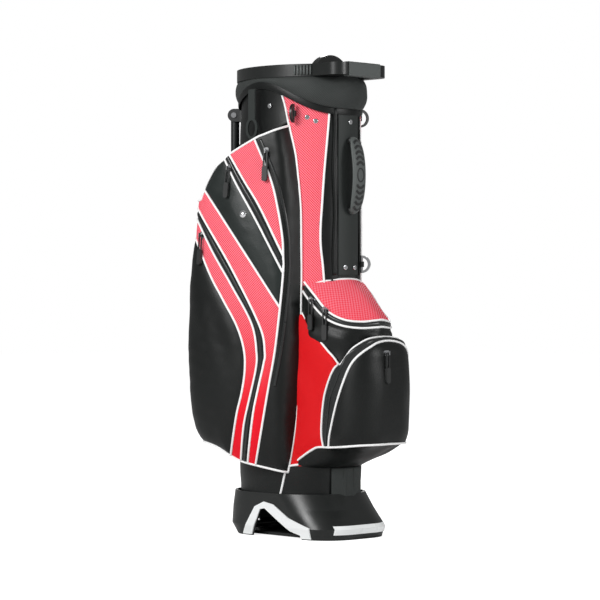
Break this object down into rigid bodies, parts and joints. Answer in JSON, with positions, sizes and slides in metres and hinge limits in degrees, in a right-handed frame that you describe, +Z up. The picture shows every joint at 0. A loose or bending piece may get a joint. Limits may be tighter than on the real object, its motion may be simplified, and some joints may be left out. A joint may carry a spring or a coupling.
{
  "type": "golf stand bag",
  "caption": "Free-standing golf bag with an oval divided tube, sewn pockets, carry grip and a folding two-leg stand worked by a rocking foot plate.",
  "frame": {"origin": "on the floor under the axis of the tube, on the base's keel", "axes": "+X towards the ball pockets and carry grip, -X the legs, +Z up"},
  "size_m": [0.4036, 0.3482, 0.876],
  "materials": {
    "black_leatherette": "fine grained, soft sheen",
    "red_mesh": "two-tone woven mesh",
    "black_mesh": "open air mesh",
    "black_webbing": "ribbed webbing",
    "black_plastic": "moulded, satin",
    "silver_trim": "satin silver",
    "grey_rubber": "soft touch",
    "black_rubber": "matt",
    "black_aluminium": "anodised",
    "steel": "bright drawn",
    "fibreglass": "pultruded rod",
    "chrome": "polished",
    "pull_rubber": "moulded grip on a cord loop"
  },
  "bodies": {
    "bag": {"base_shell": "black_plastic", "base_keel": "black_plastic", "base_trims": "silver_trim", "divider_rim": "black_plastic", "rivets": "chrome", "foot_plate_pin": "steel", "spine_panel": "black_leatherette", "mesh_panel_near": "red_mesh", "mesh_panel_far": "red_mesh", "side_panel_near": "black_leatherette", "side_panel_far": "black_leatherette", "leg_side_panel": "black_leatherette", "tube_stays": "fibreglass", "top_ring": "black_plastic", "front_grip": "grey_rubber", "club_divider": "black_plastic", "collar_cuff": "black_mesh", "spine_strap": "black_webbing", "carry_grip": "grey_rubber", "apparel_pocket_near": "black_leatherette", "apparel_pocket_far": "black_leatherette", "lid_pocket": "red_mesh", "ball_pocket": "black_leatherette", "leg_bracket": "black_plastic", "leg_pivot_pins": "steel", "rod_guides": "black_plastic", "d_ring_tabs": "black_webbing"},
    "leg_near": {"leg_hub_near": "black_plastic", "leg_tube_near": "black_aluminium", "leg_foot_near": "black_rubber"},
    "leg_far": {"leg_hub_far": "black_plastic", "leg_tube_far": "black_aluminium", "leg_foot_far": "black_rubber"},
    "pusher": {"push_rod": "steel", "crosshead": "black_plastic"},
    "link_near": {"link_near": "black_plastic"},
    "link_far": {"link_far": "black_plastic"},
    "foot_plate": {"foot_plate": "black_plastic"},
    "d_ring_near": {"d_ring_near": "black_plastic"},
    "d_ring_far": {"d_ring_far": "black_plastic"},
    "lower_d_ring": {"lower_d_ring": "chrome"},
    "towel_loop": {"towel_loop": "black_webbing"},
    "slider_front_near": {"slider_front_near": "chrome"},
    "pull_front_near": {"pull_front_near": "pull_rubber"},
    "slider_middle_near": {"slider_middle_near": "chrome"},
    "pull_middle_near": {"pull_middle_near": "pull_rubber"},
    "slider_middle_far": {"slider_middle_far": "chrome"},
    "pull_middle_far": {"pull_middle_far": "pull_rubber"},
    "slider_rear_near": {"slider_rear_near": "chrome"},
    "pull_rear_near": {"pull_rear_near": "pull_rubber"},
    "slider_rear_far": {"slider_rear_far": "chrome"},
    "pull_rear_far": {"pull_rear_far": "pull_rubber"},
    "slider_lid_upper": {"slider_lid_upper": "chrome"},
    "pull_lid_upper": {"pull_lid_upper": "pull_rubber"},
    "slider_lid_lower": {"slider_lid_lower": "chrome"},
    "pull_lid_lower": {"pull_lid_lower": "pull_rubber"},
    "slider_ball": {"slider_ball": "chrome"},
    "pull_ball": {"pull_ball": "pull_rubber"}
  },
  "joints": [
    {"name": "leg_near_hinge", "type": "hinge", "parent": "bag", "child": "leg_near", "pos_m": [-0.14, -0.032, 0.776], "axis": [-0.5736, 0.8192, 0], "range_deg": [0, 32], "stiffness_Nm_per_rad": 1.2, "springref_deg": -8.59},
    {"name": "leg_far_hinge", "type": "hinge", "parent": "bag", "child": "leg_far", "pos_m": [-0.14, 0.032, 0.776], "axis": [0.5736, 0.8192, 0], "range_deg": [0, 32]},
    {"name": "push_rod_slide", "type": "slide", "parent": "bag", "child": "pusher", "axis": [0, 0, 1], "range_m": [0, 0.0145]},
    {"name": "link_near_hinge", "type": "hinge", "parent": "pusher", "child": "link_near", "pos_m": [-0.1466, -0.02258, 0.646], "axis": [-0.5736, 0.8192, 0], "range_deg": [-27, 0]},
    {"name": "link_far_hinge", "type": "hinge", "parent": "pusher", "child": "link_far", "pos_m": [-0.1466, 0.02258, 0.646], "axis": [0.5736, 0.8192, 0], "range_deg": [-27, 0]},
    {"name": "foot_plate_hinge", "type": "hinge", "parent": "bag", "child": "foot_plate", "pos_m": [-0.097, 0, 0.013], "axis": [0, 1, 0], "range_deg": [0, 25]},
    {"name": "d_ring_near_swing", "type": "hinge", "parent": "bag", "child": "d_ring_near", "pos_m": [0.06995, -0.0865, 0.766], "axis": [0, 0, 1], "range_deg": [-60, 60]},
    {"name": "d_ring_far_swing", "type": "hinge", "parent": "bag", "child": "d_ring_far", "pos_m": [0.06995, 0.0865, 0.766], "axis": [0, 0, 1], "range_deg": [-60, 60]},
    {"name": "lower_d_ring_swing", "type": "hinge", "parent": "bag", "child": "lower_d_ring", "pos_m": [0.12404, 0.03489, 0.495], "axis": [0, 0, 1], "range_deg": [-40, 60]},
    {"name": "towel_loop_swing", "type": "hinge", "parent": "bag", "child": "towel_loop", "pos_m": [-0.015, -0.107, 0.812], "axis": [-1, 0, 0], "range_deg": [0, 75]},
    {"name": "slider_front_near_slide", "type": "slide", "parent": "bag", "child": "slider_front_near", "axis": [0.0384, -0.0276, -0.9989], "range_m": [0, 0.06]},
    {"name": "pull_front_near_swing", "type": "hinge", "parent": "slider_front_near", "child": "pull_front_near", "pos_m": [0.04236, -0.12981, 0.69736], "axis": [-0.8983, -0.4381, 0.0328], "range_deg": [0, 90]},
    {"name": "slider_middle_near_slide", "type": "slide", "parent": "bag", "child": "slider_middle_near", "axis": [0.3576, 0.0109, -0.9338], "range_m": [0, 0.045]},
    {"name": "pull_middle_near_swing", "type": "hinge", "parent": "slider_middle_near", "child": "pull_middle_near", "pos_m": [-0.03018, -0.15477, 0.66856], "axis": [-0.9792, -0.1978, 0.045], "range_deg": [0, 90]},
    {"name": "slider_middle_far_slide", "type": "slide", "parent": "bag", "child": "slider_middle_far", "axis": [0.3576, -0.0109, -0.9338], "range_m": [0, 0.045]},
    {"name": "pull_middle_far_swing", "type": "hinge", "parent": "slider_middle_far", "child": "pull_middle_far", "pos_m": [-0.03018, 0.15477, 0.66856], "axis": [0.9792, -0.1978, -0.045], "range_deg": [0, 90]},
    {"name": "slider_rear_near_slide", "type": "slide", "parent": "bag", "child": "slider_rear_near", "axis": [0.4607, -0.0593, -0.8856], "range_m": [0, 0.045]},
    {"name": "pull_rear_near_swing", "type": "hinge", "parent": "slider_rear_near", "child": "pull_rear_near", "pos_m": [-0.08738, -0.16889, 0.54842], "axis": [-0.999, 0.0367, 0.0237], "range_deg": [0, 90]},
    {"name": "slider_rear_far_slide", "type": "slide", "parent": "bag", "child": "slider_rear_far", "axis": [0.4607, 0.0593, -0.8856], "range_m": [0, 0.045]},
    {"name": "pull_rear_far_swing", "type": "hinge", "parent": "slider_rear_far", "child": "pull_rear_far", "pos_m": [-0.08738, 0.16889, 0.54842], "axis": [0.999, 0.0367, -0.0237], "range_deg": [0, 90]},
    {"name": "slider_lid_upper_slide", "type": "slide", "parent": "bag", "child": "slider_lid_upper", "axis": [0.8466, 0.1361, -0.5145], "range_m": [0, 0.015]},
    {"name": "pull_lid_upper_swing", "type": "hinge", "parent": "slider_lid_upper", "child": "pull_lid_upper", "pos_m": [0.11001, -0.08383, 0.43], "axis": [-0.9873, -0.1587, 0], "range_deg": [0, 90]},
    {"name": "slider_lid_lower_slide", "type": "slide", "parent": "bag", "child": "slider_lid_lower", "axis": [0.8169, 0.2606, -0.5145], "range_m": [0, 0.03]},
    {"name": "pull_lid_lower_swing", "type": "hinge", "parent": "slider_lid_lower", "child": "pull_lid_lower", "pos_m": [0.13864, -0.07706, 0.412], "axis": [-0.9527, -0.3039, 0], "range_deg": [0, 90]},
    {"name": "slider_ball_slide", "type": "slide", "parent": "bag", "child": "slider_ball", "axis": [0, -1, 0], "range_m": [0, 0.02]},
    {"name": "pull_ball_swing", "type": "hinge", "parent": "slider_ball", "child": "pull_ball", "pos_m": [0.2366, -0.016, 0.336], "axis": [0, -1, 0], "range_deg": [0, 90]}
  ],
  "couplings": [
    {"joint": "leg_far_hinge", "follows": "leg_near_hinge", "ratio": 1},
    {"joint": "push_rod_slide", "follows": "leg_near_hinge", "m_per_rad": 0.02596},
    {"joint": "link_near_hinge", "follows": "leg_near_hinge", "ratio": -0.84367},
    {"joint": "link_far_hinge", "follows": "leg_near_hinge", "ratio": -0.84367},
    {"joint": "foot_plate_hinge", "follows": "leg_near_hinge", "ratio": 0.78117}
  ]
}
